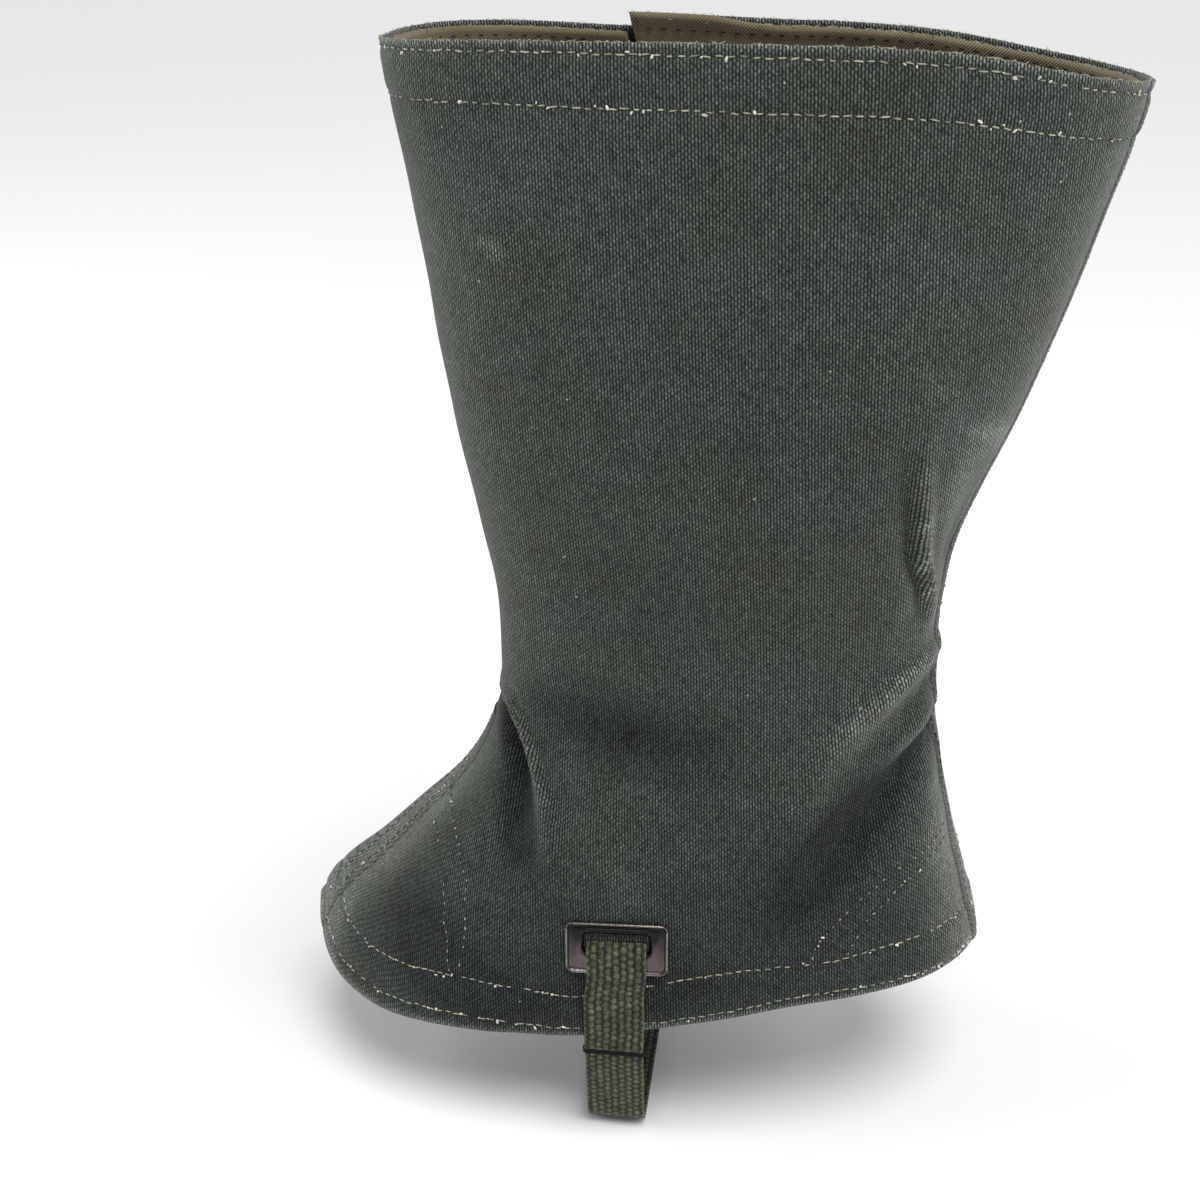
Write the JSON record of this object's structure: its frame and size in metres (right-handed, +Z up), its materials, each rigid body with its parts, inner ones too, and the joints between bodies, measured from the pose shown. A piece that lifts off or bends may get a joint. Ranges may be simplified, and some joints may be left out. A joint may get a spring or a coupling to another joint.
{
  "type": "canvas legging gaiter",
  "caption": "Tall canvas gaiter for one leg, worn form with an open top and hem, lapped rear seam, laced outer closure and a webbing strap that passes under the boot.",
  "frame": {"origin": "middle of the leg's space at the ankle, the narrowest level, where the wearer's leg holds the gaiter", "axes": "+Z up the leg, +X from the toe end to the heel, +Y from the inner side of the leg to the outer side with the closure"},
  "size_m": [0.2456, 0.108, 0.3393],
  "materials": {
    "canvas": "grey-green cotton duck, worn matt",
    "twill_tape": "tan herringbone twill tape",
    "webbing": "ribbed olive cotton webbing",
    "waxed_thread": "dark waxed thread",
    "blackened_steel": "blackened, worn to brown at the edges"
  },
  "bodies": {
    "root": {"front_panel": "canvas", "rear_panel": "canvas", "rear_seam": "canvas", "instep_seam": "canvas", "front_top_facing": "twill_tape", "rear_top_facing": "twill_tape", "slot_plate": "blackened_steel", "instep_strap": "webbing", "strap_keeper": "waxed_thread", "eyelet_1": "blackened_steel", "eyelet_2": "blackened_steel", "eyelet_3": "blackened_steel", "eyelet_4": "blackened_steel", "eyelet_5": "blackened_steel", "eyelet_6": "blackened_steel", "eyelet_7": "blackened_steel", "eyelet_8": "blackened_steel", "hook_1": "blackened_steel", "hook_2": "blackened_steel", "hook_3": "blackened_steel", "hook_4": "blackened_steel", "hook_5": "blackened_steel", "hook_6": "blackened_steel", "hook_7": "blackened_steel", "hook_8": "blackened_steel"}
  },
  "joints": []
}
